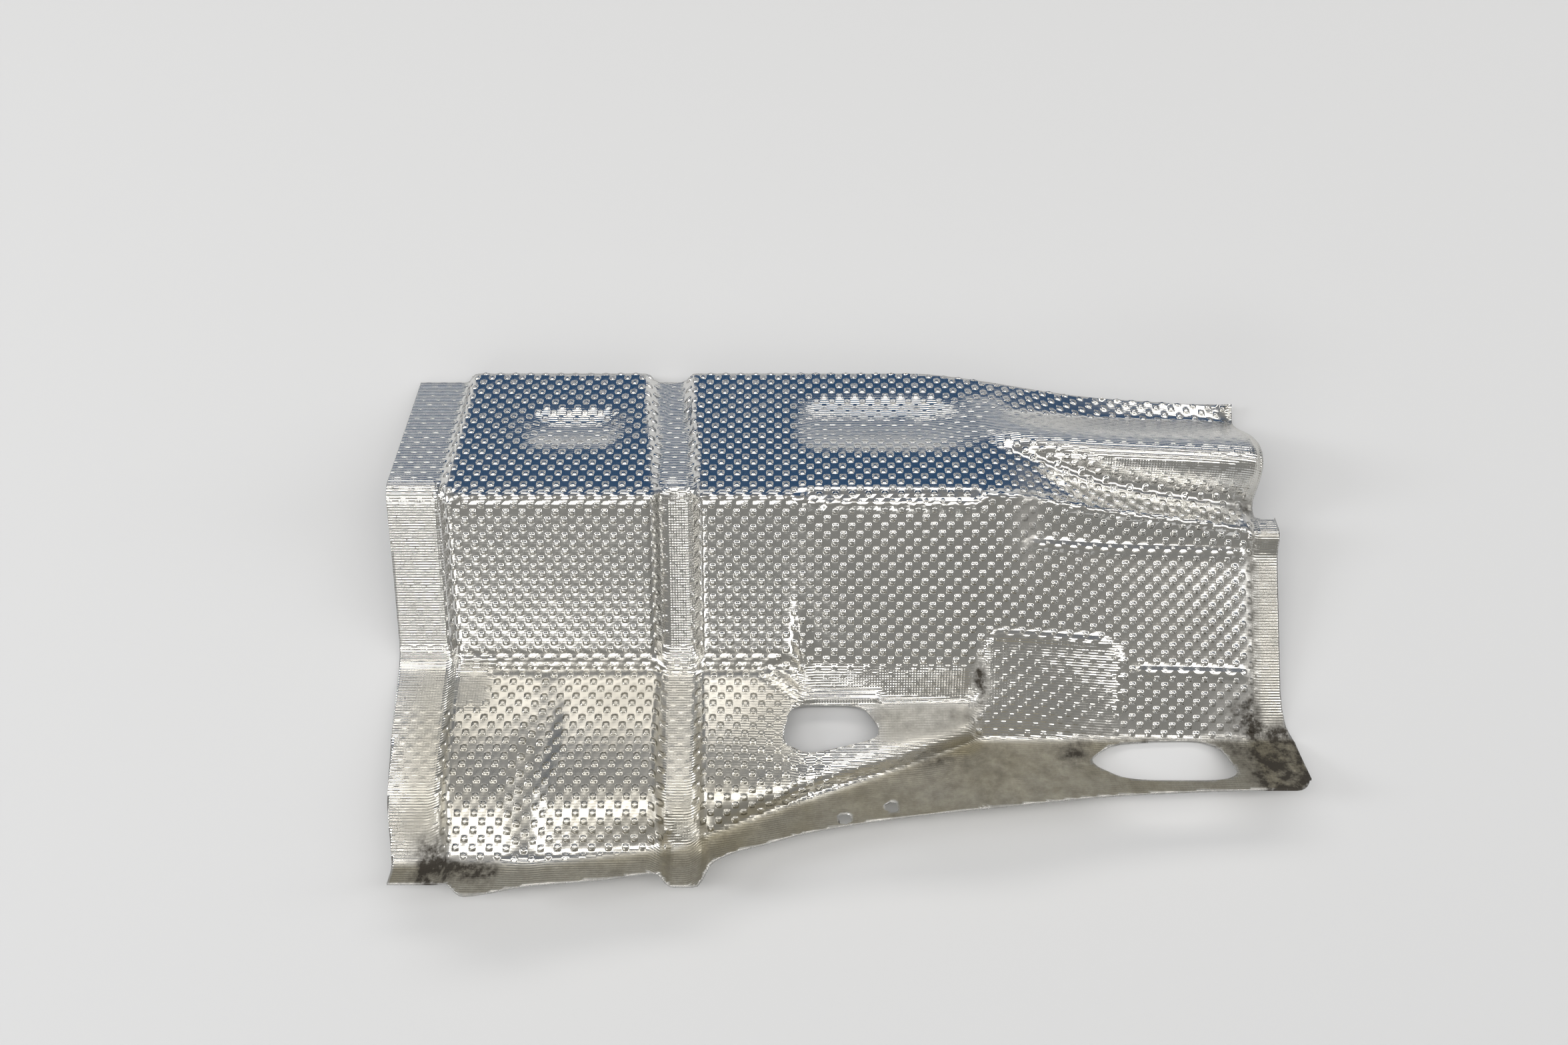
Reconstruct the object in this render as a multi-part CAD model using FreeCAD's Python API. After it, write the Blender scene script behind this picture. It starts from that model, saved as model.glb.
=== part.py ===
# Heat shield: one pressed aluminium sheet that lies as it comes to rest.
# X runs along the sheet, Y from its front flange to its back edge, Z up from the floor.
# The sheet is a skin over cross lines: each line is a chain of straights and soft folds,
# and from line to line the skin follows a monotone cubic, so nothing waves or overshoots.
import os
import FreeCAD
import Part

V3 = FreeCAD.Vector

# Sheet, in mm.
SHEET = 1.0
LEFT = -171.0
RIGHT = 217.0
STRIP = 21.0
EDGE_DRAFT = 7.0
RIGHT_STEP = 3.0
RIGHT_DRAFT = 5.0
TAB_FLARE = 5.0

# Plain level of the strips and the bead: heights over the floor and runs from the inner fold.
BACK = 131.0
RIDGE = 65.0
RIDGE_RISE = 41.0
SHELF_RISE = 8.0
SHELF_RUN = 36.0
CROWN_RISE = 14.0
CROWN_RUN = 65.0

# Pads that stand proud of that level.
PAD_LIFT = 7.0
PAD_FORWARD = 5.0
PAD_BACK = 2.0
FOLD_LIFT = 4.0

# Fixing flange: its own slope, its line of foot and its free edge.
FLANGE_SLOPE = 0.88
FLANGE_TWIST = 0.218
FOOT_LEFT = 91.0
FOOT_BEAD = 85.0
FOOT_RIGHT = 38.0
FOOT_RIGHT_RISE = 0.5
EDGE_STRIP = 98.0
EDGE_LEFT = 103.0
EDGE_BEAD = 92.0
EDGE_MIDDLE = 72.0
EDGE_RIGHT = 60.0

# Bead between the two pads.
BEAD = -46.0
BEAD_FLOOR = 9.0
BEAD_DRAFT = 7.0
BEAD_SLANT = 12.0
BEAD_LIP = 7.0

# Wedge beside the large hole, and the end of the shelf.
WEDGE_START = 2.0
WEDGE_END = 84.0
WEDGE_FOLD = 20.0
WEDGE_RUN = 5.0
WEDGE_RISE = 8.0
WALL_SAG = 5.0
WALL_LIP = 4.0
PRESS_BLEND = 8.0

# Crease in the lower left pad.
CREASE = -100.0
CREASE_SLANT = 18.0
CREASE_HALF = 11.0
CREASE_DEPTH = 5.0

# Right end: the ridge falls and the wall gets a small step.
END_RIDGE = 50.0
END_RIDGE_RISE = 27.0
END_BACK = 118.0
END_BACK_RISE = 5.0
FALL_START = 88.0
STEP_SAG = 4.0

# Oval recess on the left pad, long recess and half pipe on the right pad.
OVAL_GAP_LEFT = 25.0
OVAL_GAP_RIGHT = 6.0
OVAL_FRONT = 88.0
OVAL_BACK = 111.0
OVAL_DEPTH = 5.0
DISH_LEFT = 2.0
DISH_FRONT = 86.0
DISH_BACK = 120.0
DISH_DEPTH = 6.0
DISH_FULL = 58.0
PIPE_START = 84.0
PIPE_END = 208.0
PIPE_FRONT = 65.0
PIPE_BACK = 108.0
PIPE_CREST = 81.0
PIPE_RISE = 38.0

# Openings.
HEX_LEFT = -1.0
HEX_LENGTH = 41.0
HEX_BACK = 22.5
HEX_DEPTH = 22.0
HEX_ROUND = 0.3
SLOT_LEFT = 132.0
SLOT_LENGTH = 62.0
SLOT_BACK = 38.0
SLOT_DEPTH = 18.0
SLOT_ROUND = 0.35
BOLT_HOLE = 3.3
HOLE_A = (25.0, -72.0)
HOLE_B = (45.0, -67.0)

# Cutters reach this far over and under the sheet.
REACH = RIDGE_RISE + PIPE_RISE

# Share of a straight that each fold takes on its front and back side.
FOLDS = {"foot": (0.40, 0.20), "crown": (0.42, 0.42), "shelf": (0.38, 0.38), "inner": (0.22, 0.14),
         "step": (0.12, 0.22), "ridge": (0.28, 0.20), "rise": (0.25, 0.22), "crest": (0.70, 0.70),
         "fall": (0.22, 0.25)}
# Flats that make up each wide fold; the inner fold and the ridge are true curves.
FLATS = {"foot": 2, "crown": 3, "shelf": 2, "step": 1, "rise": 2, "crest": 6, "fall": 2}
# Strips from each cross line to the next one.
STRIPS = [1, 3, 1, 2, 2, 2, 2, 1, 3, 1, 3, 1, 2, 1, 1, 3, 3, 2, 2, 1]
ORDER = ["edge", "foot", "crown", "shelf", "inner", "step", "ridge", "rise", "crest", "fall", "back"]


def ramp(x, *knots):
    """Straight interpolation between (x, value) knots, held level past both ends."""
    if x <= knots[0][0]:
        return knots[0][1]
    for (x0, v0), (x1, v1) in zip(knots, knots[1:]):
        if x <= x1:
            return v0 + (v1 - v0) * (x - x0) / (x1 - x0)
    return knots[-1][1]


def flange_height(x, y):
    """Height of the flange plane, which leans one way along X up to the wedge's end."""
    start = FOOT_RIGHT_RISE - FLANGE_SLOPE * FOOT_RIGHT
    lean = FLANGE_TWIST * min(0.0, max(x, BEAD) - WEDGE_END)
    return start + lean - FLANGE_SLOPE * y


def plain(x):
    """Fold points (Y, Z) of the plain level at x."""
    foot = -ramp(x, (CREASE, FOOT_LEFT), (BEAD, FOOT_BEAD))
    edge = -ramp(x, (CREASE, EDGE_STRIP), (BEAD, EDGE_BEAD + BEAD_LIP))
    return {"edge": (edge, flange_height(x, edge) - PAD_LIFT),
            "foot": (foot, flange_height(x, foot) - PAD_LIFT), "crown": (-CROWN_RUN, CROWN_RISE), 
            "shelf": (-SHELF_RUN, SHELF_RISE), "inner": (0.0, 0.0),
            "step": (0.6 * RIDGE, 0.58 * RIDGE_RISE), "ridge": (RIDGE, RIDGE_RISE), "back": (BACK, 0.0)}


def proud(x):
    """Fold points (Y, Z) of the pads at x, with the wedge and the right end worked in."""
    foot = -ramp(x, (CREASE, FOOT_LEFT), (BEAD, FOOT_BEAD), (WEDGE_END, FOOT_RIGHT))
    edge = -ramp(x, (LEFT + 2 * STRIP, EDGE_STRIP), (LEFT + 2.5 * STRIP, EDGE_LEFT), (BEAD, EDGE_BEAD),
                 (0.5 * WEDGE_END, EDGE_MIDDLE), (2 * WEDGE_END, EDGE_RIGHT))
    low = flange_height(x, foot)
    ridge = (ramp(x, (FALL_START, RIDGE - PAD_FORWARD), (PIPE_END, END_RIDGE)),
             ramp(x, (FALL_START, RIDGE_RISE + PAD_LIFT), (PIPE_END, END_RIDGE_RISE)))
    back = (ramp(x, (FALL_START - STRIP, BACK + PAD_BACK), (PIPE_END - 2 * STRIP, END_BACK)),
            ramp(x, (FALL_START, PAD_LIFT), (PIPE_END, END_BACK_RISE)))
    if x > WEDGE_END + 1:
        wall = lambda share: (foot + share * (ridge[0] - foot), low + share * (ridge[1] - low))
        inner = wall(0.24)
        shelf = wall(0.16)
        crown = wall(0.08)
    else:
        inner = (-ramp(x, (WEDGE_START, PAD_FORWARD), (WEDGE_START + PRESS_BLEND, WEDGE_FOLD)), FOLD_LIFT)
        side = BEAD + 0.5 * BEAD_FLOOR + BEAD_DRAFT
        run = ramp(x, (side, -foot - CROWN_RUN), (WEDGE_START, WEDGE_RUN))
        crown = (foot + run, ramp(x, (side, CROWN_RISE + PAD_LIFT), (WEDGE_START, low + WEDGE_RISE)))
        if x <= BEAD:
            crown = (-CROWN_RUN, CROWN_RISE + PAD_LIFT)
        middle = 0.5 * (inner[0] + crown[0])
        hump = SHELF_RISE + PAD_LIFT - 0.5 * (FOLD_LIFT + CROWN_RISE + PAD_LIFT)
        hump = ramp(x, (BEAD, hump), (WEDGE_START, SHEET))
        shelf = (middle, 0.5 * (inner[1] + crown[1]) + hump)
    if x > WEDGE_END + 1:
        sag = ramp(x, (FALL_START, 0.0), (FALL_START + 2.5 * STRIP, STEP_SAG))
        share = (0.82 * ridge[0] - foot) / (ridge[0] - foot)
        step = (0.82 * ridge[0], low + share * (ridge[1] - low) - sag)
    else:
        sag = ramp(x, (WEDGE_START, 0.0), (WEDGE_START + PRESS_BLEND, WALL_SAG), (WEDGE_END, -WALL_LIP))
        share = ramp(x, (WEDGE_START, 0.62), (WEDGE_START + PRESS_BLEND, 0.3), (WEDGE_END, 0.15))
        step = (inner[0] + share * (ridge[0] - inner[0]), inner[1] + share * (ridge[1] - inner[1]) - sag)
    return {"edge": (edge, flange_height(x, edge)), "foot": (foot, low), "crown": crown, "shelf": shelf,
            "inner": inner, "step": step, "ridge": ridge, "back": back}


def top_points(points, front, crest, rear, depth):
    """Adds the three fold points between ridge and back edge, with the middle one moved by depth."""
    (ry, rz), (by, bz) = points["ridge"], points["back"]
    level = lambda y: rz + (bz - rz) * (y - ry) / (by - ry)
    points["rise"] = (front, level(front) - (0.08 * depth if depth > 0 else 0.0))
    points["crest"] = (crest, level(crest) + depth)
    points["fall"] = (rear, level(rear) - (0.08 * depth if depth > 0 else 0.0))
    return points


def line(xs, points):
    """One cross line: xs holds X at back edge, ridge, inner fold and front edge."""
    back, ridge, inner, edge = xs
    along = {"edge": edge, "foot": edge, "inner": inner, "ridge": ridge, "back": back}
    along["crown"] = edge + 0.55 * (inner - edge)
    along["shelf"] = edge + 0.85 * (inner - edge)
    along["step"] = inner + 0.6 * (ridge - inner)
    along["rise"] = ridge + 0.3 * (back - ridge)
    along["crest"] = ridge + 0.5 * (back - ridge)
    along["fall"] = ridge + 0.75 * (back - ridge)
    return [V3(along[name], *points[name]) for name in ORDER]


def lower(points, drop, names):
    """Sinks the named fold points by drop."""
    for name in names:
        points[name] = (points[name][0], points[name][1] - drop)
    return points


def flat_top(points):
    """Leaves the top plain."""
    return top_points(points, OVAL_FRONT, 0.5 * (OVAL_FRONT + OVAL_BACK), OVAL_BACK, 0.0)


def dish(points, front, rear, depth):
    """Sinks the top between front and rear."""
    return top_points(points, front, 0.5 * (front + rear), rear, -depth)


def cross_lines():
    """All cross lines from the left edge to the right edge."""
    lines = []
    inset = LEFT + STRIP
    pad = inset + EDGE_DRAFT
    lines.append(line((LEFT, LEFT, LEFT + 1, LEFT + 8), flat_top(plain(LEFT))))
    lines.append(line((inset, inset, inset + 1, inset + 7), flat_top(plain(LEFT))))
    lines.append(line((pad, pad, pad + 1, pad + 5), flat_top(proud(pad))))
    half = 0.5 * BEAD_FLOOR
    far = half + BEAD_DRAFT
    back = BEAD - 0.6 * BEAD_SLANT
    front = BEAD + 0.4 * BEAD_SLANT
    start = pad + OVAL_GAP_LEFT
    length = back - far - OVAL_GAP_RIGHT - start
    x = start
    toe = CREASE - CREASE_SLANT
    lines.append(line((x, x, CREASE - CREASE_HALF, toe - CREASE_HALF), flat_top(proud(x))))
    x = start + 0.2 * length
    sunk = lower(proud(x), CREASE_DEPTH, ["crown"])
    sunk = lower(sunk, 0.7 * CREASE_DEPTH, ["shelf"])
    lines.append(line((x, x, CREASE, toe), dish(sunk, OVAL_FRONT, OVAL_BACK, 0.8 * OVAL_DEPTH)))
    x = start + 0.5 * length
    oval = dish(proud(x), OVAL_FRONT, OVAL_BACK, OVAL_DEPTH)
    lines.append(line((x, x, CREASE + CREASE_HALF, toe + CREASE_HALF), oval))
    x = start + 0.8 * length
    lines.append(line((x, x, x, x - 4), dish(proud(x), OVAL_FRONT, OVAL_BACK, 0.8 * OVAL_DEPTH)))
    x = start + length
    lines.append(line((x, x, x, x + 2), flat_top(proud(x))))
    lines.append(line((back - far, BEAD - far, BEAD - far, front - far), flat_top(proud(BEAD - far))))
    lines.append(line((back - half, BEAD - half, BEAD - half, front - half), flat_top(plain(BEAD))))
    lines.append(line((back + half, BEAD + half, BEAD + half, front + half), flat_top(plain(BEAD))))
    lines.append(line((back + far, BEAD + far, BEAD + far, front + far), flat_top(proud(BEAD + far))))
    x = DISH_LEFT
    lines.append(line((x, x, WEDGE_START, WEDGE_START - 6), dish(proud(x), DISH_FRONT, DISH_BACK, 0.0)))
    x = DISH_LEFT + 14
    sunk = dish(proud(x), DISH_FRONT, DISH_BACK, 0.8 * DISH_DEPTH)
    lines.append(line((x, x, WEDGE_START + 9, WEDGE_START + 6), sunk))
    lines.append(line((DISH_FULL,) * 4, dish(proud(DISH_FULL), DISH_FRONT, DISH_BACK, DISH_DEPTH)))
    x = WEDGE_END - 5
    lines.append(line((x,) * 4, dish(proud(x), DISH_FRONT, DISH_BACK, 0.4 * DISH_DEPTH)))
    x = WEDGE_END + 5
    lines.append(line((x,) * 4, dish(proud(x), DISH_FRONT, PIPE_BACK, 0.0)))
    x = 0.5 * (PIPE_START + PIPE_END)
    half_way = top_points(proud(x), PIPE_FRONT + 6, PIPE_CREST + 3, PIPE_BACK, 0.7 * PIPE_RISE)
    lines.append(line((x,) * 4, half_way))
    x = PIPE_END - RIGHT_DRAFT
    lines.append(line((x,) * 4, top_points(proud(x), PIPE_FRONT, PIPE_CREST, PIPE_BACK, PIPE_RISE)))
    for x, flare in ((PIPE_END, 0.0), (RIGHT, TAB_FLARE)):
        points = top_points(proud(x), PIPE_FRONT, PIPE_CREST, PIPE_BACK, PIPE_RISE)
        points = lower(points, RIGHT_STEP, ORDER[2:-1])
        lines.append(line((x, x, x, x + flare), points))
    return lines


def underside(points):
    """Fold points of the lower face: each one moved by the sheet's thickness along its own normal."""
    moved = []
    for i, p in enumerate(points):
        before = points[max(i - 1, 0)]
        after = points[min(i + 1, len(points) - 1)]
        a = V3(0, p.y - before.y, p.z - before.z)
        b = V3(0, after.y - p.y, after.z - p.z)
        if i == 0:
            a = b
        if i == len(points) - 1:
            b = a
        a.normalize()
        b.normalize()
        mean = a + b
        mean.normalize()
        reach = SHEET / mean.dot(a)
        moved.append(p + V3(0, mean.z, -mean.y) * reach)
    return moved


def chain(points):
    """Poles of a line's spans: pairs are straights, triples are folds."""
    spans = []
    start = points[0]
    for i in range(1, len(points) - 1):
        front, back = FOLDS[ORDER[i]]
        into = points[i] + (points[i - 1] - points[i]) * front
        out = points[i] + (points[i + 1] - points[i]) * back
        spans.append([start, into])
        n = round(FLATS.get(ORDER[i], 0))
        if n:
            shares = [k / n for k in range(n + 1)]
            poles = [into * (1 - t) ** 2 + points[i] * (2 * t * (1 - t)) + out * t ** 2 for t in shares]
            spans += [[p, q] for p, q in zip(poles, poles[1:])]
        else:
            spans.append([into, points[i], out])
        start = out
    spans.append([start, points[-1]])
    return spans


def slope(before, here, after):
    """Monotone slope per mm of X at a pole between its two neighbours."""
    result = []
    for axis in (1, 2):
        h0 = here.x - before.x
        h1 = after.x - here.x
        d0 = (here[axis] - before[axis]) / h0
        d1 = (after[axis] - here[axis]) / h1
        if d0 * d1 <= 0:
            result.append(0.0)
        else:
            result.append(3 * (h0 + h1) / ((2 * h1 + h0) / d0 + (h1 + 2 * h0) / d1))
    return V3(1, *result)


def slopes(column):
    """Slopes of one pole through all lines."""
    found = [slope(*column[i - 1:i + 2]) for i in range(1, len(column) - 1)]
    first = (column[1] - column[0]) * (1 / (column[1].x - column[0].x))
    last = (column[-1] - column[-2]) * (1 / (column[-1].x - column[-2].x))
    return [first] + found + [last]


def patch(poles):
    """A Bezier face from its grid of poles."""
    surface = Part.BSplineSurface()
    nu = len(poles)
    nv = len(poles[0])
    ends = (0, 1)
    surface.buildFromPolesMultsKnots(poles, (nu, nu), (nv, nv), ends, ends, False, False, nu - 1, nv - 1)
    return surface.toShape()


def cubic(a, b, lead, trail, t):
    """Point of the monotone cubic from a to b at t, from its end slopes per mm of X."""
    third = (b.x - a.x) / 3
    p = a + lead * third
    q = b - trail * third
    return a * (1 - t) ** 3 + p * (3 * t * (1 - t) ** 2) + q * (3 * t * t * (1 - t)) + b * t ** 3


def skin(chains):
    """Chains of one face of the sheet, with strips put in where the cubic bends away from its chord."""
    spans = len(chains[0])
    tilt = [[slopes([c[s][k] for c in chains]) for k in range(len(chains[0][s]))] for s in range(spans)]
    full = []
    for i in range(len(chains) - 1):
        n = STRIPS[i]
        for step in range(n):
            full.append([[cubic(a, b, m[i], m[i + 1], step / n) for a, b, m in zip(*trio)]
                         for trio in zip(chains[i], chains[i + 1], tilt)])
    full.append(chains[-1])
    return [[[a, b] for a, b in zip(lo, hi)] for lo, hi in zip(full, full[1:])]


def sheet():
    """The pressed sheet as one closed solid."""
    lines = cross_lines()
    upper = skin([chain(p) for p in lines])
    under = skin([chain(underside(p)) for p in lines])
    faces = [patch(g) for grids in (upper, under) for row in grids for g in row]
    for i in range(len(upper)):
        faces.append(patch([[a[0], b[0]] for a, b in zip(upper[i][0], under[i][0])]))
        faces.append(patch([[a[-1], b[-1]] for a, b in zip(upper[i][-1], under[i][-1])]))
    for s in range(len(upper[0])):
        faces.append(patch([list(pair) for pair in zip(upper[0][s][0], under[0][s][0])]))
        faces.append(patch([list(pair) for pair in zip(upper[-1][s][1], under[-1][s][1])]))
    shell = Part.makeCompound(faces)
    shell.sewShape()
    solid = Part.Solid(shell.Shells[0] if shell.Shells else shell)
    if solid.Volume < 0:
        solid.reverse()
    return solid


def upright(corners, share):
    """An upright prism over the given corners, each rounded over a share of its two sides."""
    points = [V3(x, y, -REACH) for x, y in corners]
    edges = []
    for i, corner in enumerate(points):
        before = points[i - 1]
        after = points[(i + 1) % len(points)]
        into = corner + (before - corner) * share
        out = corner + (after - corner) * share
        bend = Part.BezierCurve()
        bend.setPoles([into, corner, out])
        edges.append(bend.toShape())
        edges.append(Part.makeLine(out, after + (corner - after) * share))
    return Part.Face(Part.Wire(edges)).extrude(V3(0, 0, 2 * REACH))


def bore(hole):
    """A cylinder square to the flange plane."""
    x, y = hole
    axis = V3(-FLANGE_TWIST, FLANGE_SLOPE, 1)
    axis.normalize()
    centre = V3(x, y, flange_height(x, y))
    return Part.makeCylinder(BOLT_HOLE, 2 * PAD_LIFT, centre - axis * PAD_LIFT, axis)


def large_hole():
    """The six-sided hole beside the wedge."""
    right = HEX_LEFT + HEX_LENGTH
    front = -HEX_BACK - HEX_DEPTH
    corners = [(HEX_LEFT + 4, -HEX_BACK), (right - 6, -HEX_BACK), (right + 1, -HEX_BACK - 10),
               (right, front + 7), (HEX_LEFT + 12, front), (HEX_LEFT, front + 5)]
    return upright(corners, HEX_ROUND)


def flange_slot():
    """The slot in the flange, blunt at its left end and slanted at its right end."""
    right = SLOT_LEFT + SLOT_LENGTH
    front = -SLOT_BACK - SLOT_DEPTH
    corners = [(SLOT_LEFT, front + 7), (SLOT_LEFT, front + 11), (SLOT_LEFT + 12, -SLOT_BACK),
               (right - 6, -SLOT_BACK + 1), (right, front), (SLOT_LEFT + 13, front)]
    return upright(corners, SLOT_ROUND)


def pressed():
    """The sheet with its openings and the corner past the half pipe cut away."""
    start = V3(PIPE_END, 0.5 * (PIPE_FRONT + END_RIDGE), -REACH)
    corner = Part.makeBox(RIGHT + TAB_FLARE - PIPE_END + STRIP, BACK, 2 * REACH, start)
    solid = sheet().cut([large_hole(), flange_slot(), bore(HOLE_A), bore(HOLE_B), corner])
    return solid.Solids[0]


shield = pressed()
box = shield.optimalBoundingBox(False, False)
shield.translate(V3(-0.5 * (box.XMin + box.XMax), -0.5 * (box.YMin + box.YMax), -box.ZMin))
os.makedirs("parts", exist_ok=True)
shield.exportStep("parts/heat_shield.step")
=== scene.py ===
import math
import bpy
import numpy as np
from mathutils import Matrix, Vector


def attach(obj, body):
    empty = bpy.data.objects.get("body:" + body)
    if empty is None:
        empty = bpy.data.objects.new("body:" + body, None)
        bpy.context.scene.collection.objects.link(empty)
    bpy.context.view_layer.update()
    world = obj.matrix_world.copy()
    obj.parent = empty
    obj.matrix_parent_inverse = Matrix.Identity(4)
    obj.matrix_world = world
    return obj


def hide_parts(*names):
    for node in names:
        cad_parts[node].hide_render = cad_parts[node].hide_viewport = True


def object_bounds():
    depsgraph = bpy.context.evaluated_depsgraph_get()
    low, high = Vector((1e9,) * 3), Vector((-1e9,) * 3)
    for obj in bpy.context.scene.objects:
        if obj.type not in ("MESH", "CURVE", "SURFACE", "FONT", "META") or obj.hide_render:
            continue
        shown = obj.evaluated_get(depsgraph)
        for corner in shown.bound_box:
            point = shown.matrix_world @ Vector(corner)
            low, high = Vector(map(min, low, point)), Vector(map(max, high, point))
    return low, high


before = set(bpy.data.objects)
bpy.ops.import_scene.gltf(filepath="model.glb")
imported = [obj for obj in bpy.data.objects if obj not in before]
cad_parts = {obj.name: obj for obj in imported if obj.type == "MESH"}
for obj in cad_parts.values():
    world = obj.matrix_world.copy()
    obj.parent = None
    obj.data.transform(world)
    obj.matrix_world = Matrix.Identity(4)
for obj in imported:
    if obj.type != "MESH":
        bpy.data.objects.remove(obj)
cad_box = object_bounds()
scene = bpy.context.scene

# Pressed sheet: bare aluminium, embossed all over with small staggered knobs, then pressed
# into two proud pads, a bead between them, a half pipe and a bent flange. The press has
# flattened the knobs in the strips, the bead, the recesses, the pipe and the flange.

# Ends, strip and thickness of the sheet, in mm as all sizes here.
LEFT = -171.0
RIGHT = 217.0
STRIP = 21.0
EDGE_DRAFT = 7.0
SHEET = 1.0
# Back slope, ridge and the lift of the pads.
BACK = 131.0
RIDGE = 65.0
RIDGE_RISE = 41.0
PAD_LIFT = 7.0
PAD_FORWARD = 5.0
PAD_BACK = 2.0
FOLD_LIFT = 4.0
# Shelf and crown in front of the inner fold.
SHELF_RISE = 8.0
SHELF_RUN = 36.0
CROWN_RISE = 14.0
CROWN_RUN = 65.0
# Flange plane, its foot and its free edge.
FLANGE_SLOPE = 0.88
FLANGE_TWIST = 0.218
FOOT_LEFT = 91.0
FOOT_BEAD = 85.0
FOOT_RIGHT = 38.0
FOOT_RIGHT_RISE = 0.5
EDGE_STRIP = 98.0
EDGE_LEFT = 103.0
EDGE_BEAD = 92.0
EDGE_MIDDLE = 72.0
EDGE_RIGHT = 60.0
# Bead between the pads.
BEAD = -46.0
BEAD_FLOOR = 9.0
BEAD_DRAFT = 7.0
BEAD_SLANT = 12.0
BEAD_LIP = 7.0
# Wedge beside the large hole and the wall behind it.
WEDGE_START = 2.0
WEDGE_END = 84.0
WEDGE_FOLD = 20.0
WEDGE_RUN = 5.0
WEDGE_RISE = 8.0
WALL_SAG = 5.0
WALL_LIP = 4.0
PRESS_BLEND = 8.0
# Crease in the lower left pad.
CREASE = -100.0
CREASE_SLANT = 18.0
CREASE_HALF = 11.0
CREASE_DEPTH = 5.0
# Falling right end.
FALL_START = 88.0
END_RIDGE = 50.0
END_RIDGE_RISE = 27.0
END_BACK = 118.0
END_BACK_RISE = 5.0
STEP_SAG = 4.0
RIGHT_STEP = 3.0
RIGHT_DRAFT = 5.0
TAB_FLARE = 5.0
TAB_ROUND = 8.0
# Oval recess, long recess and half pipe in the back slope.
OVAL_GAP_LEFT = 25.0
OVAL_GAP_RIGHT = 6.0
OVAL_FRONT = 88.0
OVAL_BACK = 111.0
OVAL_DEPTH = 5.0
DISH_LEFT = 2.0
DISH_TAPER = 14.0
DISH_FULL = 58.0
DISH_FRONT = 86.0
DISH_BACK = 120.0
DISH_DEPTH = 6.0
PIPE_START = 84.0
PIPE_END = 208.0
PIPE_FRONT = 65.0
PIPE_BACK = 108.0
PIPE_CREST = 81.0
PIPE_RISE = 38.0
# Large hole with six corners, slot in the flange and two holes for screws.
HEX_LEFT = -1.0
HEX_LENGTH = 41.0
HEX_BACK = 22.5
HEX_DEPTH = 22.0
HEX_ROUND = 0.3
SLOT_LEFT = 132.0
SLOT_LENGTH = 62.0
SLOT_BACK = 38.0
SLOT_DEPTH = 18.0
SLOT_ROUND = 0.35
HOLE_RADIUS = 3.3
HOLE_CENTRES = [(25.0, -72.0), (45.0, -67.0)]
# Embossing: knob pitch, grid cell, knob height, and the row along the wall that the rows are counted from.
PITCH = 7.0
CELL = PITCH / 4
EMBOSS = 0.62
WALL_ROW = 41.0

# Fold points of a cross line from front to back, and how far each fold reaches into its two straights.
FOLDS = ["edge", "foot", "crown", "shelf", "inner", "step", "ridge", "rise", "crest", "fall", "back"]
FOLD_SHARE = [(0.40, 0.20), (0.42, 0.42), (0.38, 0.38), (0.22, 0.14), (0.12, 0.22),
              (0.28, 0.20), (0.25, 0.22), (0.70, 0.70), (0.22, 0.25)]
FOLD_STEPS = 13


def ramp(x, *knots):
    """Straight interpolation between (x, value) knots, held level past both ends."""
    return float(np.interp(x, [k[0] for k in knots], [k[1] for k in knots]))


def flange_height(x, y):
    """Height of the flange plane: it rises toward the front and leans along X up to the wedge's end."""
    lean = FLANGE_TWIST * min(0.0, max(x, BEAD) - WEDGE_END)
    return FOOT_RIGHT_RISE - FLANGE_SLOPE * FOOT_RIGHT + lean - FLANGE_SLOPE * y


def plain_section(x):
    """Fold points of the strips and the bead at x."""
    foot = -ramp(x, (CREASE, FOOT_LEFT), (BEAD, FOOT_BEAD))
    edge = -ramp(x, (CREASE, EDGE_STRIP), (BEAD, EDGE_BEAD + BEAD_LIP))
    return {"edge": (edge, flange_height(x, edge) - PAD_LIFT),
            "foot": (foot, flange_height(x, foot) - PAD_LIFT),
            "crown": (-CROWN_RUN, CROWN_RISE), "shelf": (-SHELF_RUN, SHELF_RISE), "inner": (0.0, 0.0),
            "step": (0.6 * RIDGE, 0.58 * RIDGE_RISE), "ridge": (RIDGE, RIDGE_RISE), "back": (BACK, 0.0)}


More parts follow.
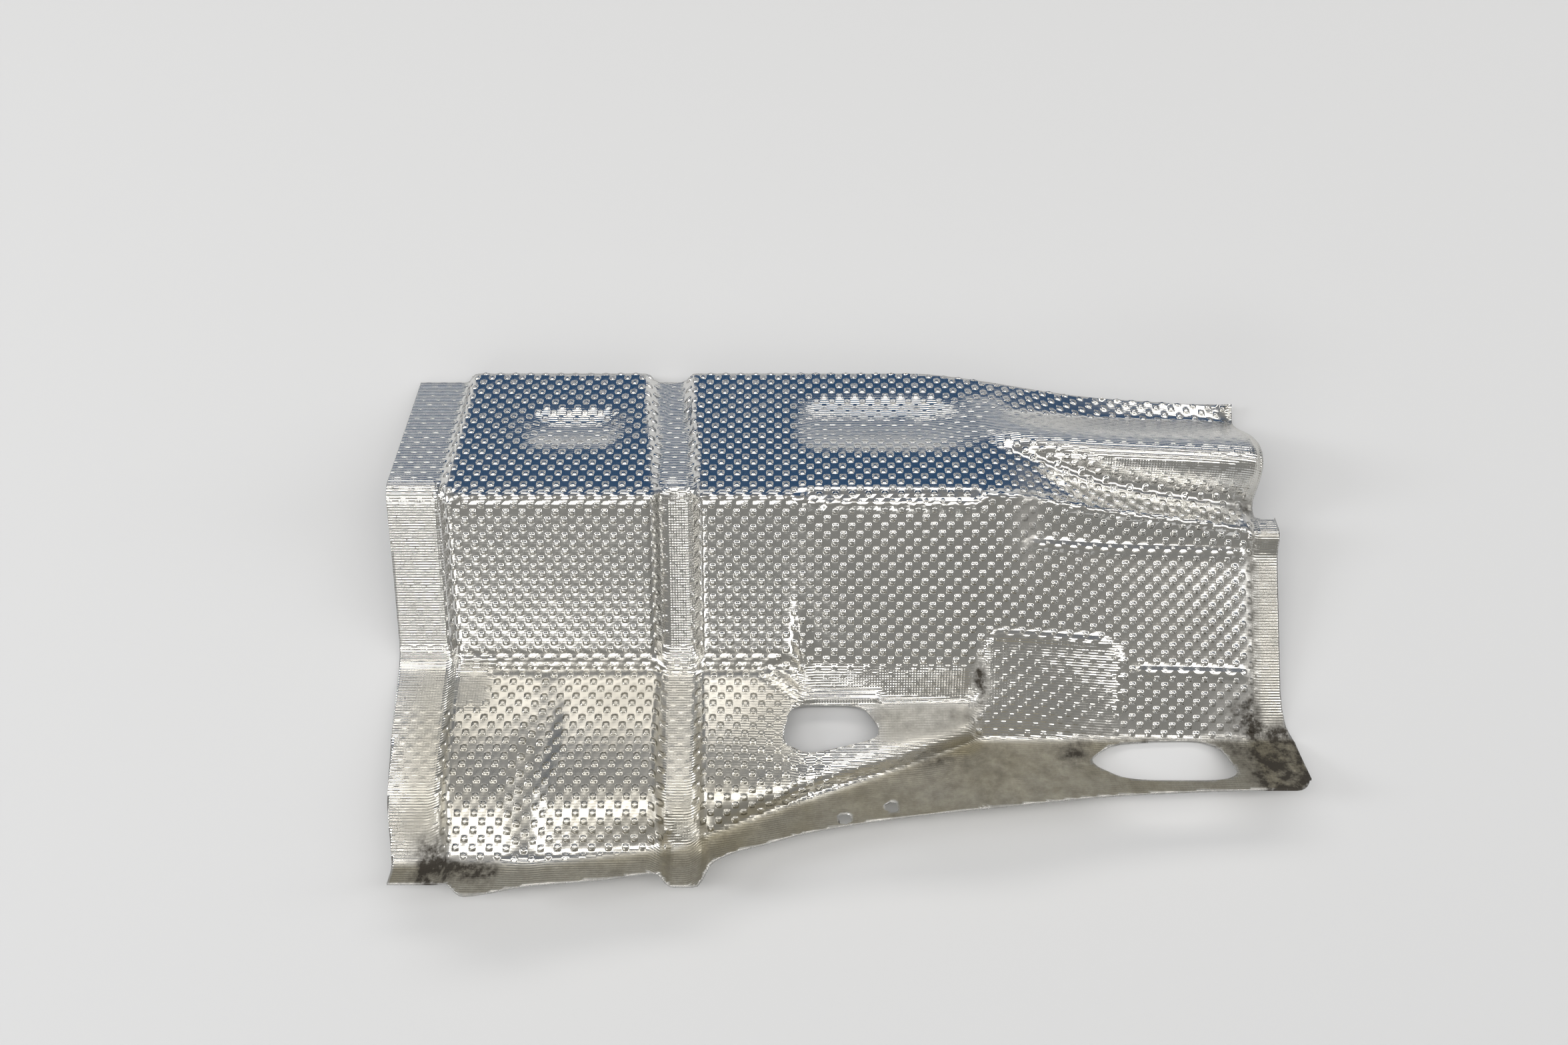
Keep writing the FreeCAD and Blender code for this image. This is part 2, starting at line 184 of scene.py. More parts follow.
def pad_section(x):
    """Fold points of the pads at x, with the wedge and the falling right end worked in."""
    foot = -ramp(x, (CREASE, FOOT_LEFT), (BEAD, FOOT_BEAD), (WEDGE_END, FOOT_RIGHT))
    edge = -ramp(x, (LEFT + 2 * STRIP, EDGE_STRIP), (LEFT + 2.5 * STRIP, EDGE_LEFT), (BEAD, EDGE_BEAD),
                 (0.5 * WEDGE_END, EDGE_MIDDLE), (2 * WEDGE_END, EDGE_RIGHT))
    low = flange_height(x, foot)
    ridge = (ramp(x, (FALL_START, RIDGE - PAD_FORWARD), (PIPE_END, END_RIDGE)),
             ramp(x, (FALL_START, RIDGE_RISE + PAD_LIFT), (PIPE_END, END_RIDGE_RISE)))
    back = (ramp(x, (FALL_START - STRIP, BACK + PAD_BACK), (PIPE_END - 2 * STRIP, END_BACK)),
            ramp(x, (FALL_START, PAD_LIFT), (PIPE_END, END_BACK_RISE)))
    if x > WEDGE_END + 1:
        sag = ramp(x, (FALL_START, 0.0), (FALL_START + 2.5 * STRIP, STEP_SAG))
        wall = [(foot + t * (ridge[0] - foot), low + t * (ridge[1] - low)) for t in (0.08, 0.16, 0.24)]
        crown, shelf, inner = wall
        t = (0.82 * ridge[0] - foot) / (ridge[0] - foot)
        step = (0.82 * ridge[0], low + t * (ridge[1] - low) - sag)
    else:
        inner = (-ramp(x, (WEDGE_START, PAD_FORWARD), (WEDGE_START + PRESS_BLEND, WEDGE_FOLD)), FOLD_LIFT)
        side = BEAD + 0.5 * BEAD_FLOOR + BEAD_DRAFT
        run = ramp(x, (side, -foot - CROWN_RUN), (WEDGE_START, WEDGE_RUN))
        crown = (foot + run, ramp(x, (side, CROWN_RISE + PAD_LIFT), (WEDGE_START, low + WEDGE_RISE)))
        if x <= BEAD:
            crown = (-CROWN_RUN, CROWN_RISE + PAD_LIFT)
        bulge = SHELF_RISE + PAD_LIFT - 0.5 * (FOLD_LIFT + CROWN_RISE + PAD_LIFT)
        hump = ramp(x, (BEAD, bulge), (WEDGE_START, SHEET))
        shelf = (0.5 * (inner[0] + crown[0]), 0.5 * (inner[1] + crown[1]) + hump)
        sag = ramp(x, (WEDGE_START, 0.0), (WEDGE_START + PRESS_BLEND, WALL_SAG), (WEDGE_END, -WALL_LIP))
        t = ramp(x, (WEDGE_START, 0.62), (WEDGE_START + PRESS_BLEND, 0.3), (WEDGE_END, 0.15))
        step = (inner[0] + t * (ridge[0] - inner[0]), inner[1] + t * (ridge[1] - inner[1]) - sag)
    return {"edge": (edge, flange_height(x, edge)), "foot": (foot, low), "crown": crown, "shelf": shelf,
            "inner": inner, "step": step, "ridge": ridge, "back": back}


def cross_line(xs, points, trough, depth):
    """Eleven fold points of one cross line. xs is X at back edge, ridge, inner fold and front edge;
    trough is Y where the recess or pipe starts, is deepest or highest, and ends; depth is its rise."""
    back, ridge, inner, edge = xs
    (ry, rz), (by, bz) = points["ridge"], points["back"]
    dip = -0.08 * max(depth, 0)
    for name, y, move in zip(("rise", "crest", "fall"), trough, (dip, depth, dip)):
        points[name] = (y, rz + (bz - rz) * (y - ry) / (by - ry) + move)
    along = [edge + share * (inner - edge) for share in (0.0, 0.0, 0.55, 0.85)]
    along += [inner + share * (ridge - inner) for share in (0.0, 0.6)]
    along += [ridge + share * (back - ridge) for share in (0.0, 0.3, 0.5, 0.75)]
    return [(x, *points[name]) for x, name in zip([*along, back], FOLDS)]


def sink(points, drops):
    """Lowers the named fold points."""
    return {name: (y, z - drops.get(name, 0.0)) for name, (y, z) in points.items()}


def cage():
    """Fold points of all cross lines from the left edge to the right edge, as lines x folds x XYZ."""
    inset = LEFT + STRIP
    pad = inset + EDGE_DRAFT
    half = 0.5 * BEAD_FLOOR
    far = half + BEAD_DRAFT
    back, front = BEAD - 0.6 * BEAD_SLANT, BEAD + 0.4 * BEAD_SLANT
    start = pad + OVAL_GAP_LEFT
    end = back - far - OVAL_GAP_RIGHT
    x2, x5, x8 = [start + share * (end - start) for share in (0.2, 0.5, 0.8)]
    creases = [(CREASE + k * CREASE_HALF, CREASE - CREASE_SLANT + k * CREASE_HALF) for k in (-1, 0, 1)]
    creased = sink(pad_section(x2), {"crown": CREASE_DEPTH, "shelf": 0.7 * CREASE_DEPTH})
    oval = (OVAL_FRONT, 0.5 * (OVAL_FRONT + OVAL_BACK), OVAL_BACK)
    dish = (DISH_FRONT, 0.5 * (DISH_FRONT + DISH_BACK), DISH_BACK)
    between = (DISH_FRONT, 0.5 * (DISH_FRONT + PIPE_BACK), PIPE_BACK)
    pipe_middle = (PIPE_FRONT + 6, PIPE_CREST + 3, PIPE_BACK)
    pipe = (PIPE_FRONT, PIPE_CREST, PIPE_BACK)
    lines = [
        cross_line((LEFT, LEFT, LEFT + 1, LEFT + 8), plain_section(LEFT), oval, 0),
        cross_line((inset, inset, inset + 1, inset + 7), plain_section(LEFT), oval, 0),
        cross_line((pad, pad, pad + 1, pad + 5), pad_section(pad), oval, 0),
        cross_line((start, start, *creases[0]), pad_section(start), oval, 0),
        cross_line((x2, x2, *creases[1]), creased, oval, -0.8 * OVAL_DEPTH),
        cross_line((x5, x5, *creases[2]), pad_section(x5), oval, -OVAL_DEPTH),
        cross_line((x8, x8, x8, x8 - 4), pad_section(x8), oval, -0.8 * OVAL_DEPTH),
        cross_line((end, end, end, end + 2), pad_section(end), oval, 0)]
    for side, section in ((-far, pad_section(BEAD - far)), (-half, plain_section(BEAD)),
                          (half, plain_section(BEAD)), (far, pad_section(BEAD + far))):
        lines.append(cross_line((back + side, BEAD + side, BEAD + side, front + side), section, oval, 0))
    dish_in = DISH_LEFT + DISH_TAPER
    mid = 0.5 * (PIPE_START + PIPE_END)
    bend = PIPE_END - RIGHT_DRAFT
    dish_start = (DISH_LEFT, DISH_LEFT, WEDGE_START, WEDGE_START - 6)
    dish_next = (dish_in, dish_in, WEDGE_START + 9, WEDGE_START + 6)
    lines += [
        cross_line(dish_start, pad_section(DISH_LEFT), dish, 0),
        cross_line(dish_next, pad_section(dish_in), dish, -0.8 * DISH_DEPTH),
        cross_line((DISH_FULL,) * 4, pad_section(DISH_FULL), dish, -DISH_DEPTH),
        cross_line((WEDGE_END - 5,) * 4, pad_section(WEDGE_END - 5), dish, -0.4 * DISH_DEPTH),
        cross_line((WEDGE_END + 5,) * 4, pad_section(WEDGE_END + 5), between, 0),
        cross_line((mid,) * 4, pad_section(mid), pipe_middle, 0.7 * PIPE_RISE),
        cross_line((bend,) * 4, pad_section(bend), pipe, PIPE_RISE)]
    for x, flare in ((PIPE_END, 0.0), (RIGHT, TAB_FLARE)):
        line = np.array(cross_line((x, x, x, x + flare), pad_section(x), pipe, PIPE_RISE))
        line[FOLDS.index("crown"):FOLDS.index("back"), 2] -= RIGHT_STEP
        lines.append(line)
    return np.array(lines)


def monotone(knots, values, x):
    """Monotone cubic through (knots, values) at x: harmonic mean slopes, so nothing overshoots."""
    h, d = np.diff(knots), np.diff(values) / np.diff(knots)
    same = d[:-1] * d[1:] > 0
    w0, w1 = 2 * h[1:] + h[:-1], h[1:] + 2 * h[:-1]
    d0, d1 = np.where(same, d[:-1], 1), np.where(same, d[1:], 1)
    inner = np.where(same, (w0 + w1) / (w0 / d0 + w1 / d1), 0.0)
    m = np.concatenate([[d[0]], inner, [d[-1]]])
    i = np.clip(np.searchsorted(knots, x) - 1, 0, len(h) - 1)
    t = np.clip((x - knots[i]) / h[i], 0, 1)
    return (values[i] * (1 + 2 * t) * (1 - t) ** 2 + values[i + 1] * t * t * (3 - 2 * t)
            + h[i] * t * (1 - t) * (m[i] * (1 - t) - m[i + 1] * t))


def profiles(x):
    """Dense cross profiles (Y, Z) at each x: fold points by monotone cubics, folds as parabolas.
    Also the arc length s, counted from WALL_ROW because the knob rows run straight along the wall,
    and the arc length of the ridge."""
    points = cage()
    fold = np.array([[monotone(points[:, k, 0], points[:, k, axis], x) for axis in (1, 2)]
                     for k in range(len(FOLDS))]).transpose(2, 0, 1)
    parts = [fold[:, :1]]
    t = np.linspace(0, 1, FOLD_STEPS)[None, :, None]
    for k, (front, back) in enumerate(FOLD_SHARE, 1):
        corner = fold[:, k:k + 1]
        into = corner + (fold[:, k - 1:k] - corner) * front
        out = corner + (fold[:, k + 1:k + 2] - corner) * back
        parts.append(into * (1 - t) ** 2 + corner * (2 * t * (1 - t)) + out * t * t)
    parts.append(fold[:, -1:])
    dense = np.concatenate(parts, 1)
    lengths = np.linalg.norm(np.diff(dense, axis=1), axis=2)
    s = np.concatenate([np.zeros((len(x), 1)), np.cumsum(lengths, 1)], 1)
    wall = np.array([[np.interp(WALL_ROW, d[:, 0], a)] for d, a in zip(dense, s)])
    ridge = 1 + FOLD_STEPS * (FOLDS.index("ridge") - 1) + FOLD_STEPS // 2
    return dense, s - wall, s[:, ridge:ridge + 1] - wall


def soft(value, low, high):
    """Smooth step from 0 at low to 1 at high."""
    t = np.clip((value - low) / (high - low), 0, 1)
    return t * t * (3 - 2 * t)


def patch(x, y, x0, x1, y0, y1, edge):
    """1 inside a rectangle, 0 outside it, over a soft edge."""
    return (soft(x, x0 - edge, x0 + edge) * soft(-x, -x1 - edge, -x1 + edge)
            * soft(y, y0 - edge, y0 + edge) * soft(-y, -y1 - edge, -y1 + edge))


def blob(x, y, cx, cy, rx, ry):
    """Rounded spot that is 1 in its middle and fades out at its radii."""
    return np.exp(-2.0 * (((x - cx) / rx) ** 2 + ((y - cy) / ry) ** 2))


# Grid over the sheet: columns along X, rows along the arc length.
right_end = RIGHT + TAB_FLARE
cols = (np.arange(math.floor(LEFT / CELL) - 1, math.ceil(right_end / CELL) + 2) + 0.5) * CELL
dense, arc, ridge_s = profiles(np.clip(cols, LEFT, right_end))
low_s, high_s = arc[:, 0], arc[:, -1]
rows = (np.arange(math.floor(low_s.min() / CELL) - 3, math.ceil(high_s.max() / CELL) + 3) + 0.5) * CELL
rows = rows[(rows > low_s.min() - 2 * CELL) & (rows < high_s.max() + 2 * CELL)]
grid_y = np.stack([np.interp(rows, a, d[:, 0]) for a, d in zip(arc, dense)])
grid_z = np.stack([np.interp(rows, a, d[:, 1]) for a, d in zip(arc, dense)])
grid_x = np.repeat(cols[:, None], len(rows), 1)
grid_s = np.repeat(rows[None, :], len(cols), 0)
shape = grid_x.shape


def rounded(corners, share):
    """Closed outline through corners, each rounded by a parabola over a share of its two sides."""
    p = np.array(corners)
    before, after = np.roll(p, 1, 0), np.roll(p, -1, 0)
    t = np.linspace(0, 1, 9)[None, :, None]
    into, out = p + (before - p) * share, p + (after - p) * share
    curve = into[:, None] * (1 - t) ** 2 + p[:, None] * (2 * t * (1 - t)) + out[:, None] * t * t
    return curve.reshape(-1, 2)


def nearest_on(outline, x, y):
    """Inside test and nearest outline point for arrays x, y."""
    a, b = outline, np.roll(outline, -1, 0)
    q = np.stack([x, y], -1)[:, None]
    ab = (b - a)[None]
    t = np.clip(((q - a[None]) * ab).sum(2) / (ab * ab).sum(2), 0, 1)
    foot = a[None] + ab * t[..., None]
    best = np.argmin(((q - foot) ** 2).sum(2), 1)
    near = foot[np.arange(len(x)), best]
    above = (a[None, :, 1] > q[..., 1]) != (b[None, :, 1] > q[..., 1])
    slope = np.where(np.abs(ab[..., 1]) < 1e-9, 1e-9, ab[..., 1])
    crossing = q[..., 0] < ab[..., 0] * (q[..., 1] - a[None, :, 1]) / slope + a[None, :, 0]
    return (above & crossing).sum(1) % 2 == 1, near


# Outlines of the openings and of what lies past the sheet's edges, in plan.
PAST = 400.0
hex_right, hex_front = HEX_LEFT + HEX_LENGTH, -HEX_BACK - HEX_DEPTH
large_hole = rounded([(HEX_LEFT + 4, -HEX_BACK), (hex_right - 6, -HEX_BACK),
                      (hex_right + 1, -HEX_BACK - 10), (hex_right, hex_front + 7),
                      (HEX_LEFT + 12, hex_front), (HEX_LEFT, hex_front + 5)], HEX_ROUND)
slot_right, slot_front = SLOT_LEFT + SLOT_LENGTH, -SLOT_BACK - SLOT_DEPTH
flange_slot = rounded([(SLOT_LEFT, slot_front + 7), (SLOT_LEFT, slot_front + 11),
                       (SLOT_LEFT + 12, -SLOT_BACK), (slot_right - 6, -SLOT_BACK + 1),
                       (slot_right, slot_front), (SLOT_LEFT + 13, slot_front)], SLOT_ROUND)
turn = np.linspace(0, 2 * np.pi, 48, endpoint=False)
hole_depth = HOLE_RADIUS / math.sqrt(1 + FLANGE_SLOPE ** 2)
ring = np.stack([HOLE_RADIUS * np.cos(turn), hole_depth * np.sin(turn)], 1)
screw_holes = [ring + centre for centre in HOLE_CENTRES]
corner_y = 0.5 * (PIPE_FRONT + END_RIDGE)
past_pipe = np.array([(PIPE_END, corner_y), (PIPE_END, PAST), (PAST, PAST), (PAST, corner_y)])
tab_x, tab_y = right_end - TAB_ROUND, TAB_ROUND - EDGE_RIGHT
quarter = np.linspace(0, -0.5 * np.pi, 9)
bow = np.stack([tab_x + TAB_ROUND * np.cos(quarter), tab_y + TAB_ROUND * np.sin(quarter)], 1)
tab_corner = np.array([(right_end + 2, -EDGE_RIGHT - 2), (right_end + 2, tab_y), *bow,
                       (tab_x, -EDGE_RIGHT - 2)])
left_edge, right_edge = cage()[[0, -1], :, :2]
outside = np.array([(left_edge[0][0], -PAST), *left_edge, (left_edge[-1][0], PAST),
                    (-PAST, PAST), (-PAST, -PAST)])
beyond = np.array([(right_edge[0][0], -PAST), *right_edge, (RIGHT, PAST), (PAST, PAST), (PAST, -PAST)])

# Grid points just inside an opening move to its outline; the ones farther in are left out with their faces.
voids = [grid_s < low_s[:, None], grid_s > high_s[:, None]]
dz_ds, dy_ds = np.gradient(grid_z, CELL, axis=1), np.gradient(grid_y, CELL, axis=1)
slope_y = dz_ds / np.where(np.abs(dy_ds) < 0.05, 0.05, dy_ds)
slope_x = np.gradient(grid_z, CELL, axis=0) - slope_y * np.gradient(grid_y, CELL, axis=0)
new_x, new_y = grid_x.copy(), grid_y.copy()
for outline in [large_hole, flange_slot, *screw_holes, past_pipe, tab_corner, outside, beyond]:
    lo, hi = outline.min(0) - 3, outline.max(0) + 3
    close = (grid_x > lo[0]) & (grid_x < hi[0]) & (grid_y > lo[1]) & (grid_y < hi[1])
    inside, near = nearest_on(outline, grid_x[close], grid_y[close])
    flags = np.zeros(shape, bool)
    flags[close] = inside
    solid = np.pad(~flags, 1, mode="edge")
    beside = [solid[i:i + shape[0], j:j + shape[1]] for i in range(3) for j in range(3)]
    rim = flags & np.any(beside, axis=0)
    full = np.zeros((*shape, 2))
    full[close] = near
    new_x[rim], new_y[rim] = full[rim, 0], full[rim, 1]
    voids.append(flags)
void = np.any(voids, axis=0)
grid_z = grid_z + slope_x * (new_x - grid_x) + slope_y * (new_y - grid_y)
grid_x, grid_y = new_x, new_y

# Where the press has flattened the knobs: left strip, bead, right end, flange, then the smooth places.
x, y, s = grid_x, grid_y, grid_s
points = cage()
pad_edge = np.interp(y, points[2, :, 1], points[2, :, 0])
bead_line = points[9:11].mean(0)
bead_mid = np.interp(y, bead_line[:, 1], bead_line[:, 0])
foot_y = -np.interp(x, [CREASE, BEAD, WEDGE_END], [FOOT_LEFT, FOOT_BEAD, FOOT_RIGHT])
knob = 0.12 + 0.88 * soft(x - pad_edge, -8.0, -3.0)
knob *= 0.15 + 0.85 * soft(np.abs(x - bead_mid), 4.5, 8.0)
knob *= 1 - 0.9 * soft(x, PIPE_END - 4, PIPE_END)
knob *= 0.02 + 0.98 * soft(y - foot_y, 0.0, 4.0)
# Rounded places: the oval recess and round the large hole. Each row is loss, middle, radii and a power.
for loss, cx, cy, rx, ry, power in ((0.85, -94, 99.5, 30, 14, 0.7), (0.93, 20, -34, 32, 18, 0.5)):
    knob *= 1 - loss * blob(x, y, cx, cy, rx, ry) ** power
# Square places: long recess, left end, foot of the wall, wedge and panel. Each row is loss, sides and edge.
for loss, *sides in ((0.8, 6, 100, 90, 117, 6), (0.9, -172, -128, -24, -2, 4), (0.85, 6, 84, -22, -6, 4),
                     (0.97, 36, 82, -42, -21, 3), (0.72, 86, 145, -36, 3, 3)):
    knob *= 1 - loss * patch(x, y, *sides)
knob *= 1 - 0.7 * patch(x, y, 20, 82, -70, -40, 3) * soft(y - foot_y, 2, 5)
pipe_front = np.interp(x, [80, 150, PIPE_END], [98, 70, 64])
knob *= 1 - 0.85 * soft(x, 76, 100) * soft(y - pipe_front, 0, 6) * soft(-y, -112, -106)
knob = np.clip(knob, 0.0, 1.0)


def ribbon(along, across, start, end, middle, width):
    """A raised wavy ribbon: flat-topped across the line, and its middle waves with the knob pitch."""
    wave = middle + 0.7 * np.sin(2 * np.pi * along / PITCH)
    ends = soft(along, start, start + 6) * soft(-along, -end, -end + 6)
    return np.exp(-((across - wave) / width) ** 4) * ends


def lip(x0, y0, x1, y1, width):
    """A rounded raised lip along a straight from (x0, y0) to (x1, y1)."""
    run, rise = x1 - x0, y1 - y0
    share = np.clip(((x - x0) * run + (y - y0) * rise) / (run ** 2 + rise ** 2), 0, 1)
    return np.exp(-((x - x0 - share * run) ** 2 + (y - y0 - share * rise) ** 2) / width ** 2)


# Raised lines: ridge, panel top and side, two on the right wall, inner fold; lips of the hole; two lances.
RAISED = 1.6
lines = ribbon(x, s - ridge_s, -142, 200, 0.0, 2.4) + ribbon(x, s, 86, 142, -23 * CELL, 1.9)
lines += ribbon(x, s, 100, 204, 0.0, 1.9) + ribbon(y, x, -28, 2, 83 * CELL, 1.9)
lines += ribbon(x, s, 150, 204, -30 * CELL, 1.9) + ribbon(x, s, -145, 0, -30 * CELL, 2.2)
lines += RAISED * lip(-6, -8, 9, -19, 2.6) + RAISED * lip(9, -19, 40, -19.5, 2.2)
lines += 0.9 * blob(x, y, -68, -95, 4, 2) + 0.9 * blob(x, y, 99, -55, 4, 2)
lines = np.clip(lines, 0, RAISED)

# Knob tops: one grid point in every 4 x 4, and again half a pitch over and half a pitch down.
step_i = np.round(cols / CELL - 0.5).astype(int)[:, None] % 4
step_j = np.round(rows / CELL - 0.5).astype(int)[None, :] % 4
level = (((step_i == 0) & (step_j == 0)) | ((step_i == 2) & (step_j == 2))) * 1.0
uneven = np.random.default_rng(7).uniform(0.75, 1.0, level.shape)
knob = knob * np.where(level > 0, uneven, 1.0)

# Upper face and underside, a hair inside the sheet's thickness. The ground between the knobs is pressed down.
SKIN = 0.02
base = np.stack([grid_x, grid_y, grid_z], -1)
normal = np.cross(np.gradient(base, axis=0), np.gradient(base, axis=1))
length = np.linalg.norm(normal, axis=2, keepdims=True)
normal = np.where(length > 1e-6, normal / np.maximum(length, 1e-6), np.array([0.0, 0.0, 1.0]))
ground = np.minimum(knob * 1.3, 1.0)
top = base - normal * (EMBOSS * (ground - np.maximum(knob * level, lines)) + SKIN)[..., None]
under = base - normal * (SHEET - SKIN - knob * EMBOSS * level)[..., None]

# Rows past the front or back edge all lie on that edge, so each column keeps one point there.
ni, nj = shape
first_row = (grid_s < low_s[:, None]).sum(1) - 1
last_row = nj - (grid_s > high_s[:, None]).sum(1)
corner = np.arange(ni)[:, None] * nj + np.clip(np.arange(nj)[None], first_row[:, None], last_row[:, None])
quads = np.stack([corner[:-1, :-1], corner[1:, :-1], corner[1:, 1:], corner[:-1, 1:]], -1).reshape(-1, 4)
gone = np.any([v.reshape(-1)[quads].all(1) for v in voids], axis=0)
quads = quads[~gone]
# Quads with two corners in one point become triangles, and those with two such pairs go.
same = quads == np.roll(quads, -1, 1)
tapered = [np.delete(quads[same[:, k] & (same.sum(1) == 1)], k, 1) for k in range(4)]
edges = np.concatenate([quads[same.sum(1) < 2][:, [k, (k + 1) % 4]] for k in range(4)])
edges = edges[edges[:, 0] != edges[:, 1]]
quads = quads[~same.any(1)]
# Quads with one high corner are split between their low corners, so each knob is a small diamond.
height = level.reshape(-1)[quads]
odd = height[:, 0] + height[:, 2] == 1
even = height[:, 1] + height[:, 3] == 1
tris = np.concatenate([quads[odd][:, [0, 1, 3]], quads[odd][:, [1, 2, 3]],
                       quads[even][:, [0, 1, 2]], quads[even][:, [0, 2, 3]], *tapered])
plain = quads[~(odd | even)]
# Edges with a face on one side only are the cut edges, and get a strip from top to underside.
_, first, count = np.unique(np.sort(edges, 1), axis=0, return_index=True, return_counts=True)
border = edges[first[count == 1]]
n = ni * nj
cut_strip = np.stack([border[:, 1], border[:, 0], border[:, 0] + n, border[:, 1] + n], 1)
faces = np.concatenate([plain, plain[:, ::-1] + n, cut_strip])
split_faces = np.concatenate([tris, tris[:, ::-1] + n])
used = np.unique(np.concatenate([faces.reshape(-1), split_faces.reshape(-1)]))
renumber = np.full(2 * n, -1)
renumber[used] = np.arange(len(used))

# From the part's own frame to the CAD's place on the floor, then from mm to metres.
shift = np.array([cad_box[0][0] * 1000 - LEFT, cad_box[1][1] * 1000 - (BACK + PAD_BACK), 0.0])
shift[2] = cad_box[1][2] * 1000 - grid_z[~void].max()
verts = (np.concatenate([top.reshape(-1, 3), under.reshape(-1, 3)])[used] + shift) * 0.001
mesh = bpy.data.meshes.new("heat_shield_skin")
mesh.from_pydata(verts.tolist(), [], renumber[faces].tolist() + renumber[split_faces].tolist())
shield = bpy.data.objects.new("heat_shield_skin", mesh)
scene.collection.objects.link(shield)
mesh.polygons.foreach_set("use_smooth", np.ones(len(mesh.polygons), bool))


def spread(values):
    """Same value on the top and the underside of the sheet, for the kept vertices."""
    return np.concatenate([values.reshape(-1)] * 2)[used].astype(np.float32)


def store(name, values):
    """Keeps one number per vertex for the material to read."""
    mesh.attributes.new(name, "FLOAT", "POINT").data.foreach_set("value", spread(values))


# Flat coordinates of the sheet as its UV, X by arc length, one unit for 100 mm.
UV_UNIT = 100
uv = mesh.uv_layers.new(name="sheet")
loop_vertex = np.empty(len(mesh.loops), np.int32)
mesh.loops.foreach_get("vertex_index", loop_vertex)
flat = np.stack([spread(x)[loop_vertex], spread(s)[loop_vertex]], 1)
uv.data.foreach_set("uv", flat.reshape(-1) / UV_UNIT)

# Dirt and painted shade: the whole flange, then spots as amount, middle and radii, then patches as amount,
# sides and edge.
grime_and_shade = 0.22 * (1 - soft(y - foot_y, -2.0, 2.0))
# The spot at x 85, y -14 is painted shade in the crease at the wedge's end; the other spots and patches are
# dirt.
for amount, *spot in ((1.0, 213, -50, 18, 22), (0.5, 196, -28, 14, 16), (0.35, 140, -33, 16, 6),
                      (0.8, 85, -14, 5, 12), (0.8, -148, -88, 9, 16), (0.3, 125, -44, 12, 8),
                      (0.35, 165, -38, 45, 3), (0.3, 104, 50, 8, 26), (0.5, 204, 62, 16, 5),
                      (0.25, 60, -46, 26, 5)):
    grime_and_shade += amount * blob(x, y, *spot)
for amount, *sides in ((0.5, -146, -118, -97, -88, 3), (0.45, 203, 222, -70, -30, 4),
                       (0.3, 201, 208, -30, 40, 2.5), (0.25, 30, 84, -36, -22, 5)):
    grime_and_shade += amount * patch(x, y, *sides)
store("grime_and_shade", np.clip(1.4 * grime_and_shade, 0, 1))
# Stain: the flange, the right end, the wedge and the lower left pad.
stain = 0.8 * (1 - soft(y - foot_y, -1.0, 3.0)) + 0.3 * soft(x, 200, 206)
stain += 0.4 * patch(x, y, 40, 84, -42, -22, 5) + 0.5 * patch(x, y, -165, 8, -84, -4, 12)
store("stain", np.clip(stain, 0, 1))
store("flattened", 1 - knob)
store("lines", lines)
cut_edge = np.zeros(n)
cut_edge[np.unique(border)] = 1.0
store("cut_edge", cut_edge)

metal = bpy.data.materials.new("embossed_aluminium")
metal.use_nodes = True
nodes, links = metal.node_tree.nodes, metal.node_tree.links
nodes.clear()


def node(kind, **values):
    """Adds a node; plain values set its properties or, for numbers given by socket name, its sockets."""
    made = nodes.new(kind)
    for key, value in values.items():
        if hasattr(made, key):
            setattr(made, key, value)
        else:
            made.inputs[key.replace("_", " ")].default_value = value
    return made


def math_node(operation, a, b):
    """Math node on two sockets or numbers."""
    made = node("ShaderNodeMath", operation=operation)
    for slot, value in zip(made.inputs, (a, b)):
        if isinstance(value, (int, float)):
            slot.default_value = value
        else:
            links.new(value, slot)
    return made.outputs[0]


def attribute(name):
    """One number per vertex, as it was stored on the mesh."""
    return node("ShaderNodeAttribute", attribute_name=name).outputs["Fac"]


def noise(vector, scale, detail, rough=0.55):
    """Cloudy noise between 0 and 1."""
    made = node("ShaderNodeTexNoise", Scale=scale, Detail=detail, Roughness=rough)
    links.new(vector, made.inputs["Vector"])
    return made.outputs["Fac"]


def mix_colour(factor, a, b):
    """Blend from colour a to colour b; each is a colour or a socket."""
    made = node("ShaderNodeMix", data_type="RGBA")
    links.new(factor, made.inputs[0])
    for slot, value in ((made.inputs[6], a), (made.inputs[7], b)):
        if isinstance(value, tuple):
            slot.default_value = value
        else:
            links.new(value, slot)
    return made.outputs[2]


def bump(height, strength, distance, below=None):
    """Bump from a height socket, on top of another bump's normal if one is given."""
    made = node("ShaderNodeBump", Strength=strength, Distance=distance)
    links.new(height, made.inputs["Height"])
    if below is not None:
        links.new(below, made.inputs["Normal"])
    return made.outputs[0]


BARE_COOL = (0.74, 0.74, 0.73, 1)
BARE_WARM = (0.84, 0.83, 0.80, 1)
STAINED = (0.38, 0.345, 0.25, 1)
GRIME_AND_SHADE_COLOUR = (0.045, 0.038, 0.028, 1)
place = nodes.new("ShaderNodeTexCoord").outputs["Object"]
sheet_uv = node("ShaderNodeUVMap", uv_map="sheet").outputs["UV"]
cloud = noise(place, 22.0, 4.0)
speck = noise(place, 260.0, 5.0, 0.65)
blotch_noise = noise(place, 130.0, 7.0, 0.7)
grime_and_shade_cover = math_node("MULTIPLY", math_node("SUBTRACT", blotch_noise, 0.30), 4.5)
clamp = nodes.new("ShaderNodeClamp")
links.new(math_node("MULTIPLY", attribute("grime_and_shade"), grime_and_shade_cover), clamp.inputs[0])
grime_and_shade_amount = clamp.outputs[0]
stain_amount = math_node("MULTIPLY", attribute("stain"), math_node("ADD", 0.45, cloud))
stain_amount = math_node("MULTIPLY", stain_amount, math_node("SUBTRACT", 1.0, attribute("cut_edge")))
colour = mix_colour(cloud, BARE_COOL, BARE_WARM)
